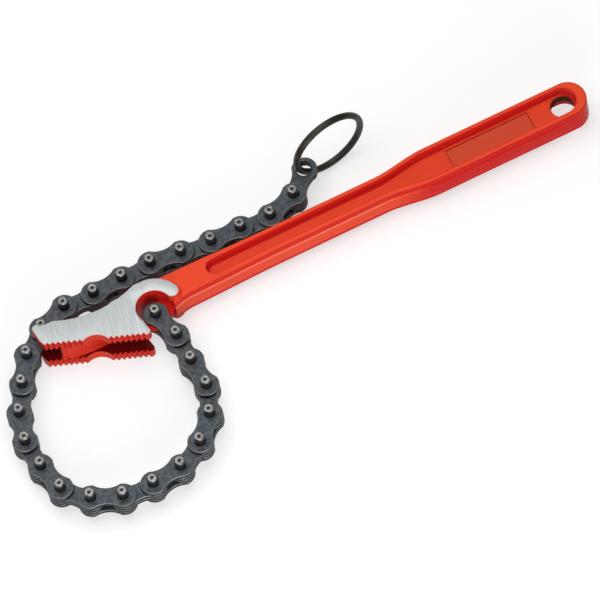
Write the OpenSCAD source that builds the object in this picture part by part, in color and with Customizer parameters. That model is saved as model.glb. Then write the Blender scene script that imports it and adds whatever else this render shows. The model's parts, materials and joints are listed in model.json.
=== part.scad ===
// Chain pipe wrench: a forged handle and double jaw with a leaf chain and a pull ring.
// The hang hole's centre is the origin, +X runs along the handle to the jaw,
// +Y points to the toothed side and +Z is the thickness of the tool. Millimetres.

/* [Handle] */
// Distance from the hang hole's centre to the round end of the handle
end_margin = 12.6; // [11.5:0.1:16]
// Diameter of the hang hole
hole_d = 12; // [8:0.5:13]
// Width of the grip
grip_w = 19.4; // [18:0.1:22]
// Length of the straight grip, measured from the hang hole
grip_len = 72; // [66:1:84]
// Length of the S-curve between grip and shank
neck_len = 28; // [20:1:36]
// Width of the shank
shank_w = 13; // [11:0.1:15]
// Width of the handle where it runs into the head
root_w = 14.8; // [13:0.1:17]
// Length over which the shank widens towards the head
flare_len = 50; // [30:1:70]
// Thickness of the handle
handle_t = 16; // [14:0.5:19]
// Width of the rim left on each side of the pocket and the channel
rim_w = 2.8; // [2:0.1:3.6]
// Depth of the grip's pocket on each face
pocket_d = 4.8; // [3:0.1:5.4]
// Depth of the round channel along the shank
channel_d = 3.5; // [2.5:0.1:4.2]
// Plain length left between the channel and the recess round the anchor pin
plain_len = 23; // [18:1:30]
// Length of the bare sunken panel in the grip
panel_len = 45; // [30:1:46]
// Depth of the panel below the pocket's floor
panel_d = 0.6; // [0.2:0.1:1]
// Distance from the hang hole to the panel
panel_start = 17; // [14:0.5:20]

/* [Head] */
// Distance along the handle from the hang hole to the anchor pin
anchor_x = 226; // [215:1:240]
// Offset of the anchor pin from the handle's axis
anchor_y = 8; // [7:0.1:9]
// Distance along the handle from the anchor pin to the front of the nose
nose_reach = 58; // [56:0.5:62]
// Thickness over both cheeks
head_t = 24; // [22:0.5:27]
// Width of the slot between the cheeks
slot_w = 11.8; // [10.5:0.1:12.5]
// Distance from the handle's axis to the bottom of the pin seat
seat_y = 8.9; // [8:0.1:10]
// Height of the lip in front of the pin seat
lip_h = 2; // [1:0.1:2.2]
// Thickness of the lip
lip_t = 2.8; // [2:0.1:3.4]
// Radius of the lip's rounded top
lip_r = 1.85; // [1.6:0.05:2]
// Distance from the handle's axis to the bottom of the saddle behind the seat
saddle_y = 3.6; // [3:0.1:5]
// Radius of the saddle
saddle_r = 52; // [46:1:60]
// Distance from the handle's axis to the front end of the toothed edge
jaw_y = 1.3; // [0:0.1:2.5]
// Angle of the toothed edge to the handle's axis
jaw_angle = 22; // [19:0.5:24]
// Distance between two teeth
tooth_pitch = 2.65; // [2.2:0.05:2.8]
// Depth of the teeth
tooth_d = 1.2; // [0.8:0.1:1.5]
// Number of teeth in front of the arch, and again behind it
group_teeth = 7; // [5:1:7]
// Width of the arch between the two groups of teeth
arch_w = 12.8; // [10:0.1:14]
// Height of the arch
arch_h = 2.8; // [2:0.1:3.5]
// Radius of the C-shaped recess round the anchor pin
recess_r = 9; // [8:0.1:9.4]
// Width of the horn that reaches round the recess
horn_w = 6.6; // [6:0.1:7.5]
// Angle at which the horn ends, seen from the anchor pin
horn_end = 204; // [198:1:214]
// Teeth from the nose to the solid web between the cheeks
web_teeth = 2.6; // [2:0.1:3.5]
// Depth of the web's upper edge below the cheeks' upper edge
web_drop = 1.5; // [0.5:0.1:2.5]
// Distance from the handle's axis to the web's lower edge
web_low = 5.4; // [4:0.1:6]

/* [Chain] */
// Distance between two pins
pitch = 15.875; // [15.5:0.025:16.2]
// Height of a link plate at the pins
plate_h = 12.8; // [11.5:0.1:13.2]
// Height of a link plate at its waist
waist_h = 8.8; // [8:0.1:10]
// Radius of the hollow on each side of the waist
waist_r = 12; // [10:0.5:15]
// Thickness of one link plate
plate_t = 2.3; // [2:0.05:2.4]
// Gap between two link plates
plate_gap = 0.08; // [0.05:0.01:0.15]
// Diameter of the link pins
pin_d = 5.08; // [4.6:0.02:5.4]
// Length of the link pins
pin_len = 21; // [18:0.5:22]
// Running gap between a pin and the inner plates, on the radius
pin_gap = 0.05; // [0.02:0.01:0.09]
// Gap between a pin and the outer plates that hold it, on the radius
press_gap = 0.01; // [0.005:0.005:0.02]
// Gap between the last loop pin and its seat in the nose
seat_gap = 0.12; // [0.06:0.02:0.3]
// Gap between the chain's tail and the handle's back
tail_gap = 1.2; // [0.8:0.1:4]

/* [Pull ring] */
// Outer diameter of the ring
ring_d = 41.4; // [39:0.2:44]
// Diameter of the ring's wire
wire_d = 3.5; // [3:0.1:3.6]
// Diameter of the ring's hole in the last link
ring_hole_d = 7.8; // [7.7:0.1:8.2]
// How far the ring is turned up in its hole
ring_lift = 32; // [24:1:32]
// How far the ring is turned sideways from the last link's direction
ring_turn = -36; // [-50:1:50]

/* [Hidden] */
$fn = 64;
far = 60;
// how far a cut runs past what it cuts, and how far two outlines lap so that they join
past = 5;
lap = 0.3;
// turns from link to link round the pipe, at the second to the sixteenth pin
loop_turns = [13, -1, 22, 23, 20, 20, 11, 21, 23, 30, 9, 18, 15, 4, 19];
// angles of the tail's links to the handle, away from the handle's back
tail_angles = [21, -2, 3, 2, -7, -7, -1, -4, 18, 45];
loop_links = len(loop_turns) + 1;
link_count = loop_links + len(tail_angles);
pair_count = link_count / 2;
laid_links = 8;
pin_r = pin_d / 2;
plate_r = plate_h / 2;
pin_chamfer = pin_d / 9;
dimple_r = pin_d / 6;
inner_z = (plate_gap + plate_t) / 2;
outer_z = inner_z + plate_t + plate_gap;
lug_t = 2 * plate_t + plate_gap;

nose_x = anchor_x + nose_reach;
anchor = [anchor_x, anchor_y];
seat = [nose_x - lip_t - pin_r - seat_gap, -seat_y - pin_r - seat_gap];
jaw_dir = [-cos(jaw_angle), sin(jaw_angle)];
jaw_in = [-sin(jaw_angle), -cos(jaw_angle)];
jaw_front = [nose_x - lip_r, jaw_y];
group_len = group_teeth * tooth_pitch;
tooth_land = tooth_pitch / 8;
corner_r = 1.6;
jaw_len = 2 * group_len + arch_w + corner_r;
jaw_corner = jaw_front + jaw_dir * jaw_len;
arch_r = (arch_w * arch_w / 4 + arch_h * arch_h) / (2 * arch_h);
horn_r = recess_r + horn_w;
jaw_back = recess_r - lap;
heel_x = anchor_x - recess_r - lap;
heel_y = anchor_y + 0.8;
heel_len = 3;
saddle_shift = 2;
web_front = jaw_front + jaw_dir * web_teeth * tooth_pitch;
web_room = 4;
web_top = [seat[0] - plate_r - web_room, -saddle_y - lip_h];
web_slope = 16;
lug_root = 4;
lug_half = plate_r * 0.94;

end_r = grip_w / 2;
end_x = end_r - end_margin;
root_margin = 9;
root_x = heel_x - root_margin;
neck_end = grip_len + neck_len;
channel_x = anchor_x - recess_r - plain_len;
channel_half = shank_w / 2 - rim_w;
channel_r = (channel_half * channel_half + channel_d * channel_d) / (2 * channel_d);
pocket_share = 0.55;
pocket_x = grip_len + neck_len * pocket_share;
ring_r = (ring_d - wire_d) / 2;
// the slanting wire lies a little to one side in its hole, so that both rims of the hole clear it
ring_shift = 0.5;

function numbered(name, k) = str(name, k < 10 ? "_0" : "_", k);
function heading(a) = [cos(a), sin(a)];
function total(list, n) = n == 0 ? 0 : total(list, n - 1) + list[n - 1];
function ease(t) = t <= 0 ? 0 : t >= 1 ? 1 : t * t * (3 - 2 * t);

// half the handle's width at a distance from the hang hole
function half_w(x) = (grip_w + (shank_w - grip_w) * ease((x - grip_len) / neck_len)
    + (root_w - shank_w) * ease((x - root_x) / flare_len + 1)) / 2;

// headings of the loop's links when all its turns are scaled by f, the first link at angle 0
function loop_heading(i, f) = -f * total(loop_turns, i - 1);
function loop_span(f, n = loop_links) = n == 0 ? [0, 0]
    : loop_span(f, n - 1) + pitch * heading(loop_heading(n, f));

// the factor that closes the loop from the anchor pin to the seat, by halving
function loop_close(lo, hi, steps) = steps == 0 ? (lo + hi) / 2
    : norm(loop_span((lo + hi) / 2)) > norm(seat - anchor)
        ? loop_close((lo + hi) / 2, hi, steps - 1)
        : loop_close(lo, (lo + hi) / 2, steps - 1);
least_turn = 0.7;
most_turn = 1.35;
halvings = 40;
loop_f = loop_close(least_turn, most_turn, halvings);
loop_end = loop_span(loop_f);
loop_start = atan2(seat[1] - anchor_y, seat[0] - anchor_x) - atan2(loop_end[1], loop_end[0]);

// the tail turns about the seat until its laid links lie at their gap from the handle's back
function tail_span(n) = n == 0 ? [0, 0] : tail_span(n - 1) + pitch * heading(180 + tail_angles[n - 1]);
laid = tail_span(laid_links);
laid_y = -shank_w / 2 - plate_r - tail_gap;
tail_turn = 180 - asin((laid_y - seat[1]) / norm(laid)) - (atan2(laid[1], laid[0]) + 360) % 360;

// heading of each link, and the places of the pins; the last place is the ring's hole
function link_heading(i) = i <= loop_links ? loop_start + loop_heading(i, loop_f)
    : 180 + tail_angles[i - loop_links - 1] + tail_turn;
function pin_at(i) = i == 1 ? anchor : pin_at(i - 1) + pitch * heading(link_heading(i - 1));

module at(p) { translate([p[0], p[1], 0]) children(); }
module both_faces() {
    children();
    mirror([0, 0, 1]) children();
}

// outline of the handle from its round end to the heel under the horn
module handle_outline() {
    steps = 10;
    xs = concat([end_x], [for (i = [0:steps]) grip_len + neck_len * i / steps],
        [for (i = [0:steps]) root_x - flare_len * (1 - i / steps)]);
    heel = [[heel_x, anchor_y], [heel_x, heel_y], [heel_x - heel_len, heel_y]];
    back = [for (x = xs) [x, -half_w(x)]];
    front = [for (i = [len(xs) - 1:-1:0]) [xs[i], half_w(xs[i])]];
    translate([end_x, 0]) circle(end_r);
    polygon(concat(back, [[anchor_x, -root_w / 2], anchor], heel, front));
}

// outline of the flat pocket in the grip, a rim inside the handle's outline, round about the hang hole
module pocket_outline() {
    steps = 8;
    xs = concat([0], [for (i = [0:steps]) grip_len + (pocket_x - grip_len) * i / steps]);
    back = [for (x = xs) [x, rim_w - half_w(x)]];
    front = [for (i = [len(xs) - 1:-1:0]) [xs[i], half_w(xs[i]) - rim_w]];
    circle(end_r - rim_w);
    polygon(concat(back, front));
}

// round channel along the shank, with a round end towards the head
module shank_channel() {
    steps = 6;
    nose = [for (i = [0:steps]) [channel_r * cos(90 * i / steps), channel_r * sin(90 * i / steps)]];
    length = channel_x - channel_r - pocket_x + lap;
    translate([channel_x - channel_r, 0, handle_t / 2 - channel_d + channel_r])
        rotate([0, 90, 0])
            rotate_extrude()
                polygon(concat([[0, -length], [channel_r, -length]], nose));
}

// cheeks seen from above: nose, saddle, horn round the anchor pin, and the toothed edge
module head_outline() {
    difference() {
        union() {
            jaw_block();
            horn();
        }
        at(anchor) circle(recess_r);
        tooth_row(0);
        tooth_row(group_len + arch_w);
        at(jaw_front + jaw_dir * (group_len + arch_w / 2) - jaw_in * (arch_r - arch_h)) circle(arch_r);
    }
}

module jaw_block() {
    top = -seat_y;
    lip = [nose_x - lip_r, top - lip_h + lip_r];
    corner = jaw_corner - jaw_dir * corner_r + jaw_in * corner_r;
    saddle = [(anchor_x + seat[0]) / 2 - saddle_shift, -saddle_y - saddle_r];
    at(corner) circle(corner_r);
    difference() {
        union() {
            at(lip) circle(lip_r);
            polygon([[nose_x, lip[1]], [nose_x - lip_r / 3, jaw_y - lip_t], jaw_front,
                corner - jaw_in * corner_r, corner + jaw_dir * corner_r,
                [anchor_x + jaw_back, anchor_y], anchor, [anchor_x, anchor_y - horn_r],
                [seat[0] - plate_r, top], [seat[0], top], [seat[0], lip[1]]]);
        }
        at(saddle) circle(saddle_r);
        at(seat) circle(pin_r + seat_gap);
    }
}

module horn() {
    tip_r = horn_w / 2;
    difference() {
        at(anchor) circle(horn_r);
        polygon([anchor, anchor + far * heading(horn_end), [anchor_x - far, far],
            [anchor_x + far, far], [anchor_x + far, anchor_y]]);
    }
    at(anchor + (recess_r + tip_r) * heading(horn_end)) circle(tip_r);
}

module tooth_row(start) {
    for (k = [0:group_teeth - 1]) {
        s = start + k * tooth_pitch + tooth_land / 2;
        e = s + tooth_pitch - tooth_land;
        outside = -jaw_in * tooth_d;
        polygon([jaw_front + jaw_dir * s + outside, jaw_front + jaw_dir * s,
            jaw_front + jaw_dir * (s + e) / 2 + jaw_in * tooth_d,
            jaw_front + jaw_dir * e, jaw_front + jaw_dir * e + outside]);
    }
}

// what is cut away between the cheeks: the nose's slot with the space over the web, and the rear slot
module slot_outline() {
    polygon([web_front - jaw_in * past, web_front, web_top, [anchor_x + horn_r, web_drop - saddle_y],
        [anchor_x + horn_r, -far], [nose_x + past, -far], [nose_x + past, web_front[1] + past]]);
    polygon([web_front + jaw_dir * tooth_pitch, [web_front[0] - web_slope, web_low],
        [anchor_x + recess_r, web_low], anchor, [anchor_x, far], [web_front[0], far]]);
}

// tongue in the middle of the recess that carries the anchor pin
module lug_outline() {
    at(anchor) circle(plate_r);
    polygon([[heel_x - lug_root, -root_w / 4], [anchor_x, anchor_y - lug_half],
        [anchor_x, anchor_y + lug_half], [heel_x - lug_root, anchor_y - lap]]);
}

module handle_forging() {
    difference() {
        union() {
            difference() {
                union() {
                    linear_extrude(handle_t, center = true) handle_outline();
                    linear_extrude(head_t, center = true) head_outline();
                }
                linear_extrude(slot_w, center = true) slot_outline();
                at(anchor) cylinder(h = 2 * head_t, r = recess_r, center = true);
            }
            linear_extrude(lug_t, center = true) lug_outline();
        }
        both_faces() {
            translate([0, 0, handle_t / 2 - pocket_d]) linear_extrude(handle_t) pocket_outline();
            shank_channel();
            translate([panel_start, rim_w + panel_d - end_r, handle_t / 2 - pocket_d - panel_d])
                cube([panel_len, 2 * (end_r - rim_w - panel_d), handle_t]);
        }
        cylinder(h = 2 * handle_t, d = hole_d, center = true);
        at(anchor) cylinder(h = 2 * head_t, r = pin_r + pin_gap, center = true);
    }
}

// the forging between two places along the handle; its three parts meet face to face
module forging_part(start, end) {
    color("orangered") intersection() {
        handle_forging();
        translate([start, -far, -far]) cube([end - start, 2 * far, 2 * far]);
    }
}

// one link plate from its first pin to its second, with a waist between them
module link_plate(hole_1, hole_2) {
    linear_extrude(plate_t, center = true)
        difference() {
            union() {
                circle(plate_r);
                translate([pitch, 0]) circle(plate_r);
                translate([0, -plate_r]) square([pitch, plate_h]);
            }
            for (side = [-1, 1])
                translate([pitch / 2, side * (waist_h / 2 + waist_r)]) circle(waist_r);
            circle(d = hole_1);
            translate([pitch, 0]) circle(d = hole_2);
        }
}

module on_link(i) { at(pin_at(i)) rotate(link_heading(i)) children(); }

module outer_plates(k) {
    hole = pin_d + 2 * press_gap;
    color("dimgray") on_link(2 * k - 1)
        for (side = [-1, 1]) translate([0, 0, side * outer_z]) link_plate(hole, hole);
}

module inner_plates(k) {
    hole = pin_d + 2 * pin_gap;
    color("slategray") on_link(2 * k)
        for (side = [-1, 1]) translate([0, 0, side * inner_z])
            link_plate(hole, k == pair_count ? ring_hole_d : hole);
}

// link pin with a chamfered rim and a small centre dimple at each end
module link_pin() {
    end = pin_len / 2;
    rotate_extrude()
        polygon([[0, dimple_r - end], [dimple_r, -end], [pin_r - pin_chamfer, -end],
            [pin_r, pin_chamfer - end], [pin_r, end - pin_chamfer], [pin_r - pin_chamfer, end],
            [dimple_r, end], [0, end - dimple_r]]);
}

module link_pins(k) {
    color("silver") for (i = [2 * k - 1, 2 * k]) at(pin_at(i)) link_pin();
}

module pull_ring() {
    color([0.2, 0.18, 0.16]) at(pin_at(link_count + 1))
        rotate(link_heading(link_count) + ring_turn)
            translate([ring_r * cos(ring_lift) - ring_shift, 0, ring_r * sin(ring_lift)])
                rotate([90, 0, 0])
                    rotate_extrude()
                        translate([ring_r, 0]) circle(d = wire_d);
}

forging_part(-far, neck_end);  // grip_forging
forging_part(neck_end, root_x);  // shank_forging
forging_part(root_x, nose_x + far);  // jaw_forging
for (k = [1:pair_count]) {
    outer_plates(k);
    link_pins(k);
    inner_plates(k);
}
pull_ring();
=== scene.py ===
import json
import math

import bmesh
import bpy
import numpy as np
from mathutils import Matrix, Vector


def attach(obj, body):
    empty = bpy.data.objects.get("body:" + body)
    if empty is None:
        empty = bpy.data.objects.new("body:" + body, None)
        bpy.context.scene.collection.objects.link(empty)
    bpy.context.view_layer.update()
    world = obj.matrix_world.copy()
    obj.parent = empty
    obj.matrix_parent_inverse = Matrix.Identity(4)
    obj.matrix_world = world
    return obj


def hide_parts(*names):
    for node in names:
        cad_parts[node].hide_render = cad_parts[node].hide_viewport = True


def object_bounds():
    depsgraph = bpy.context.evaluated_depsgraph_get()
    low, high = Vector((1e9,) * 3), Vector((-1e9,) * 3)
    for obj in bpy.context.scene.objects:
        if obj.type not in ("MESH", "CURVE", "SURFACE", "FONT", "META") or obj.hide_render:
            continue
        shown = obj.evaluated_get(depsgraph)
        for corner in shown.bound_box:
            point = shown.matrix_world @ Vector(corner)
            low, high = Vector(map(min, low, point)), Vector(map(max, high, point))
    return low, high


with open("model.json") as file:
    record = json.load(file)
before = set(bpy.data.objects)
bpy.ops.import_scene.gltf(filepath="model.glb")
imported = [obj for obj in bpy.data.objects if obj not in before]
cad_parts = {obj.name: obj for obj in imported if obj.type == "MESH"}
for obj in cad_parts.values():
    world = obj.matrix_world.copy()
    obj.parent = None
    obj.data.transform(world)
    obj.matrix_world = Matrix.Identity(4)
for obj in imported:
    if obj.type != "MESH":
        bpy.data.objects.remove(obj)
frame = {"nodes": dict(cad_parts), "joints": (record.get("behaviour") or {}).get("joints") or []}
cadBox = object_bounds()
scene = bpy.context.scene
mm = 0.001  # all shapes below are worked out in millimetres and scaled once, in makePiece
join = np.concatenate
levelFace = 0.99999  # least upward part of the normal of a level face
mergeGap = 0.004 * mm  # points closer than this are one point
leastEdge = 0.001 * mm  # edges shorter than this are taken out

pinPlaces = np.array([joint["pos_m"][:2] for joint in frame["joints"]]) / mm
linkSteps = np.diff(pinPlaces, axis=0)
linkTurns = np.arctan2(linkSteps[:, 1], linkSteps[:, 0])
linkPitch = float(np.hypot(*linkSteps.T).mean())
pairCount = len(linkTurns) // 2
anchor = pinPlaces[0]
print("frame loaded:", len(frame["nodes"]), "nodes,", len(linkTurns), "links")


# ease runs from 0 to 1 with a level start and end
def ease(t):
    t = np.clip(t, 0.0, 1.0)
    return t * t * (3 - 2 * t)


def heading(degrees):
    angle = math.radians(degrees)
    return np.array([math.cos(angle), math.sin(angle)])


# points of the unit circle at angles in radians
def unitCircle(angles):
    return np.stack([np.cos(angles), np.sin(angles)], axis=1)


# angles of a quarter turn in even steps
def quarterTurn(count):
    return np.radians(np.linspace(0, 90, count))


# points in space from points in the plane and their heights
def withHeight(flat, z):
    return join([flat, np.broadcast_to(z, flat.shape[:-1])[..., None]], axis=-1)


# points on a circle from one angle to another, in degrees
def arc(centre, radius, start, end, count):
    return np.asarray(centre) + radius * unitCircle(np.radians(np.linspace(start, end, count)))


# the direction of a vector in the plane, in degrees
def bearing(vector):
    return math.degrees(math.atan2(vector[1], vector[0]))


# quads of a grid of rows and columns, whose points lie row after row from a first index
def gridFaces(rows, columns, first=0, closeRows=False, closeColumns=False):
    row = np.arange(rows if closeRows else rows - 1)[:, None]
    column = np.arange(columns if closeColumns else columns - 1)[None, :]
    here = row * columns
    after = (row + 1) % rows * columns
    beside = (column + 1) % columns
    quads = np.stack([here + column, after + column, after + beside, here + beside], axis=-1)
    return (quads.reshape(-1, 4) + first).tolist()


# faces of a tube of rings with its two flat ends
def tubeFaces(rows, columns):
    ends = [list(range(columns)), list(range((rows - 1) * columns, rows * columns))]
    return gridFaces(rows, columns, closeColumns=True) + ends


# surfaces joined to one; each is its points, its faces and a mark for every point
def joinSurfaces(*surfaces):
    faces, first = [], 0
    for points, partFaces, _ in surfaces:
        faces += [[i + first for i in face] for face in partFaces]
        first += len(points)
    points = join([surface[0] for surface in surfaces])
    return points, faces, join([surface[2] for surface in surfaces])


# a mesh from a surface, its marks kept as an attribute, with doubles merged and normals turned
# outwards; level faces are shaded flat, so that the rounding of their edges doesn't spread over them
def makePiece(name, surface, label, sharpAngle=40):
    points, faces, marks = surface
    mesh = bpy.data.meshes.new(name)
    mesh.from_pydata((np.asarray(points, float) * mm).tolist(), [], faces)
    mesh.attributes.new(label, "FLOAT", "POINT").data.foreach_set("value", np.asarray(marks, np.float32))
    work = bmesh.new()
    work.from_mesh(mesh)
    bmesh.ops.remove_doubles(work, verts=work.verts, dist=mergeGap)
    bmesh.ops.dissolve_degenerate(work, edges=work.edges, dist=leastEdge)
    bmesh.ops.recalc_face_normals(work, faces=work.faces)
    work.to_mesh(mesh)
    work.free()
    mesh.shade_smooth()
    normals = np.empty(3 * len(mesh.polygons), np.float32)
    mesh.polygons.foreach_get("normal", normals)
    mesh.polygons.foreach_set("use_smooth", np.abs(normals[2::3]) < levelFace)
    mesh.set_sharp_from_angle(angle=math.radians(sharpAngle))
    piece = bpy.data.objects.new(name, mesh)
    scene.collection.objects.link(piece)
    return piece


def dress(piece, material, body, slotName, *nodes):
    piece.data.materials.clear()
    piece.data.materials.append(material)
    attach(piece, body)
    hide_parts(*nodes)


# shader helpers; a tree is a material's node tree, and a value is a number, a colour or a node's output
def newMaterial(name):
    material = bpy.data.materials.new(name)
    material.use_nodes = True
    tree = material.node_tree
    return material, tree, tree.nodes["Principled BSDF"]


def setSocket(tree, socket, value):
    if isinstance(value, tuple):
        socket.default_value = (*value, 1.0)
    elif isinstance(value, (int, float)):
        socket.default_value = value
    else:
        tree.links.new(value, socket)


def setInputs(tree, node, values):
    for name, value in values.items():
        setSocket(tree, node.inputs[name], value)


def mathNode(tree, operation, first, second=0.0):
    node = tree.nodes.new("ShaderNodeMath")
    node.operation = operation
    setInputs(tree, node, {0: first, 1: second})
    return node.outputs[0]


# a smooth step from 0 at one value to 1 at another
def stepNode(tree, value, zeroAt, oneAt):
    node = tree.nodes.new("ShaderNodeMapRange")
    node.interpolation_type = "SMOOTHSTEP"
    setInputs(tree, node, {"Value": value, "From Min": zeroAt, "From Max": oneAt})
    return node.outputs["Result"]


# a mix of two colours
def mixNode(tree, factor, first, second):
    node = tree.nodes.new("ShaderNodeMix")
    node.data_type = "RGBA"
    setInputs(tree, node, {"Factor": factor, 6: first, 7: second})
    return node.outputs[2]


# a mix of two plain values
def blendNode(tree, factor, first, second):
    node = tree.nodes.new("ShaderNodeMix")
    setInputs(tree, node, {"Factor": factor, 2: first, 3: second})
    return node.outputs[0]


def placeNode(tree):
    return tree.nodes.new("ShaderNodeTexCoord").outputs["Object"]


def splitNode(tree, vector):
    node = tree.nodes.new("ShaderNodeSeparateXYZ")
    tree.links.new(vector, node.inputs[0])
    return node.outputs


# an attribute of the mesh's points
def markNode(tree, label):
    node = tree.nodes.new("ShaderNodeAttribute")
    node.attribute_name = label
    return node.outputs["Fac"]


mottleDetail = dict(Patch=4.0, Grain=2.0)


# a node group of fine mottling: a mask of soft patches and a height of small grain
def makeMottle():
    group = bpy.data.node_groups.new("surfaceMottle", "ShaderNodeTree")
    sockets = group.interface
    sockets.new_socket("Vector", in_out="INPUT", socket_type="NodeSocketVector")
    for part in mottleDetail:
        sockets.new_socket(part + " Scale", in_out="INPUT", socket_type="NodeSocketFloat")
        sockets.new_socket(part, in_out="OUTPUT", socket_type="NodeSocketFloat")
    source = group.nodes.new("NodeGroupInput")
    target = group.nodes.new("NodeGroupOutput")
    for part, detail in mottleDetail.items():
        noise = group.nodes.new("ShaderNodeTexNoise")
        noise.inputs["Detail"].default_value = detail
        group.links.new(source.outputs["Vector"], noise.inputs["Vector"])
        group.links.new(source.outputs[part + " Scale"], noise.inputs["Scale"])
        group.links.new(noise.outputs["Fac"], target.inputs[part])
    return group


mottle = makeMottle()


def addMottle(tree, vector, patchScale, grainScale):
    node = tree.nodes.new("ShaderNodeGroup")
    node.node_tree = mottle
    setInputs(tree, node, {"Vector": vector, "Patch Scale": patchScale, "Grain Scale": grainScale})
    return node.outputs["Patch"], node.outputs["Grain"]


def bumpNode(tree, height, strength, distance):
    node = tree.nodes.new("ShaderNodeBump")
    setInputs(tree, node, {"Height": height, "Strength": strength, "Distance": distance})
    return node.outputs["Normal"]


# in these settings mottle is the scale of patches and of grain, a step is where it starts and ends, a
# pair of roughnesses is for the two ends of a mask, and bump is its strength and its distance
paint = dict(
    # the paler red is a painted highlight on shoulders; the deeper and the deepest reds are painted shade
    # on walls and in slots
    red=(0.84, 0.078, 0.031), patchRed=(0.80, 0.066, 0.026), highlightRed=(0.95, 0.21, 0.13),
    hollowRed=(0.64, 0.016, 0.013), slotShadeRed=(0.15, 0.004, 0.004),
    mottle=(45.0, 900.0), patchStep=(0.35, 0.75), rough=(0.22, 0.32), gleam=0.035, bump=(0.10, 0.25 * mm),
    # sunken panel, with a dark line of painted shade along its edges
    panelRed=(0.70, 0.086, 0.040), panelEdgeShade=(0.32, 0.026, 0.014), panelMid=39.5 * mm, panelLong=22.5 * mm,
    panelHalf=5.4 * mm, panelEdge=0.2 * mm, panelShadeWidth=0.4 * mm,
    # ground faces
    steel=(0.58, 0.60, 0.60), steelDark=(0.40, 0.42, 0.42), rim=(0.83, 0.66, 0.56), rimZ=11.62 * mm,
    faceZ=11.86 * mm, faceEdge=0.1 * mm, brushTurn=77.5, brushLength=1 / 60, brushWidth=1 / 5000,
    scratchScale=1.0, scratchDetail=3.0, scratchStep=(0.25, 0.8), steelRough=(0.48, 0.58),
    # hang hole
    holeBrown=(0.13, 0.060, 0.030), holeR=6.05 * mm, bareZ=1.4 * mm, bareEdge=0.6 * mm, bareRough=0.75,
)


# fine scratches of grinding: noise drawn out along one direction
def addScratches(tree, vector):
    brushed = tree.nodes.new("ShaderNodeMapping")
    brushed.vector_type = "TEXTURE"
    brushed.inputs["Rotation"].default_value = (0, 0, math.radians(paint["brushTurn"]))
    length = paint["brushLength"]
    brushed.inputs["Scale"].default_value = (length, paint["brushWidth"], length)
    tree.links.new(vector, brushed.inputs["Vector"])
    scratch = tree.nodes.new("ShaderNodeTexNoise")
    setInputs(tree, scratch, {"Vector": brushed.outputs["Vector"], "Scale": paint["scratchScale"],
                              "Detail": paint["scratchDetail"]})
    return scratch.outputs["Fac"]


# orange-red enamel; the mark attribute paints shade and highlight on it: deeper red as painted shade where
# it is 1 on walls, deepest where it is 2 in slots, and paler red as a painted highlight where it is -1 on
# shoulders; duller in the sunken panel, with a dark line of painted shade along its edges; the outer
# faces of the cheeks, known by their height, are ground bright with fine scratches, and the hang hole
# is bare below a painted upper edge
def makePaint():
    p = paint
    material, tree, shader = newMaterial("forgingPaintAndShading")
    vector = placeNode(tree)
    x, y, z = splitNode(tree, vector)
    patches, grain = addMottle(tree, vector, *p["mottle"])
    mottled = mixNode(tree, stepNode(tree, patches, *p["patchStep"]), p["red"], p["patchRed"])
    hollow = markNode(tree, "hollow")
    # paler red on the shoulders is a painted highlight
    paler = mixNode(tree, stepNode(tree, hollow, 0.0, -1.0), mottled, p["highlightRed"])
    # the panel: how far a place lies outside its rectangle
    along = mathNode(tree, "ABSOLUTE", mathNode(tree, "SUBTRACT", x, p["panelMid"]))
    across = mathNode(tree, "ABSOLUTE", y)
    outside = mathNode(tree, "MAXIMUM", mathNode(tree, "SUBTRACT", along, p["panelLong"]),
                       mathNode(tree, "SUBTRACT", across, p["panelHalf"]))
    inPanel = stepNode(tree, outside, 0.0, -p["panelEdge"])
    fromEdge = mathNode(tree, "ABSOLUTE", mathNode(tree, "ADD", outside, p["panelEdge"]))
    dull = mixNode(tree, inPanel, paler, p["panelRed"])
    # a dark line of painted shade along the panel's edges
    edgeShaded = mixNode(tree, stepNode(tree, fromEdge, p["panelShadeWidth"], 0.0), dull, p["panelEdgeShade"])
    # deeper red on walls and deepest red in slots are painted shade
    shadedOnWalls = mixNode(tree, stepNode(tree, hollow, 0.0, 1.0), edgeShaded, p["hollowRed"])
    enamel = mixNode(tree, stepNode(tree, hollow, 1.0, 2.0), shadedOnWalls, p["slotShadeRed"])
    # the ground faces and their pale rims
    height = mathNode(tree, "ABSOLUTE", z)
    ground = stepNode(tree, height, p["faceZ"], p["faceZ"] + p["faceEdge"])
    rim = stepNode(tree, height, p["rimZ"], p["rimZ"] + p["faceEdge"])
    scratch = addScratches(tree, vector)
    scratched = stepNode(tree, scratch, *p["scratchStep"])
    steel = mixNode(tree, scratched, p["steel"], p["steelDark"])
    # the hang hole
    square = mathNode(tree, "ADD", mathNode(tree, "MULTIPLY", x, x), mathNode(tree, "MULTIPLY", y, y))
    inHole = stepNode(tree, mathNode(tree, "SQRT", square), p["holeR"] + p["faceEdge"], p["holeR"])
    below = stepNode(tree, z, p["bareZ"] + p["bareEdge"], p["bareZ"])
    bare = mathNode(tree, "MULTIPLY", inHole, below)
    painted = mixNode(tree, bare, enamel, p["holeBrown"])
    edged = mixNode(tree, rim, painted, p["rim"])
    gloss = blendNode(tree, bare, blendNode(tree, patches, *p["rough"]), p["bareRough"])
    setInputs(tree, shader, {
        "Base Color": mixNode(tree, ground, edged, steel),
        "Metallic": ground,
        "Roughness": blendNode(tree, ground, gloss, blendNode(tree, scratched, *p["steelRough"])),
        "Specular IOR Level": p["gleam"],
        "Normal": bumpNode(tree, blendNode(tree, ground, grain, scratch), *p["bump"]),
    })
    return material


chainTint = dict(
    # the near-black colour is painted shade on the plates' walls and in their pin holes
    steel=(0.092, 0.102, 0.110), blued=(0.048, 0.056, 0.063), worn=(0.34, 0.36, 0.37),
    plateShade=(0.008, 0.008, 0.009), mottle=(420.0, 1800.0), patchStep=(0.3, 0.7), wornStep=(0.25, 0.65),
    metallic=(0.55, 0.95), rough=(0.40, 0.58), gleam=0.25, bump=(0.20, 0.2 * mm),
)
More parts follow.
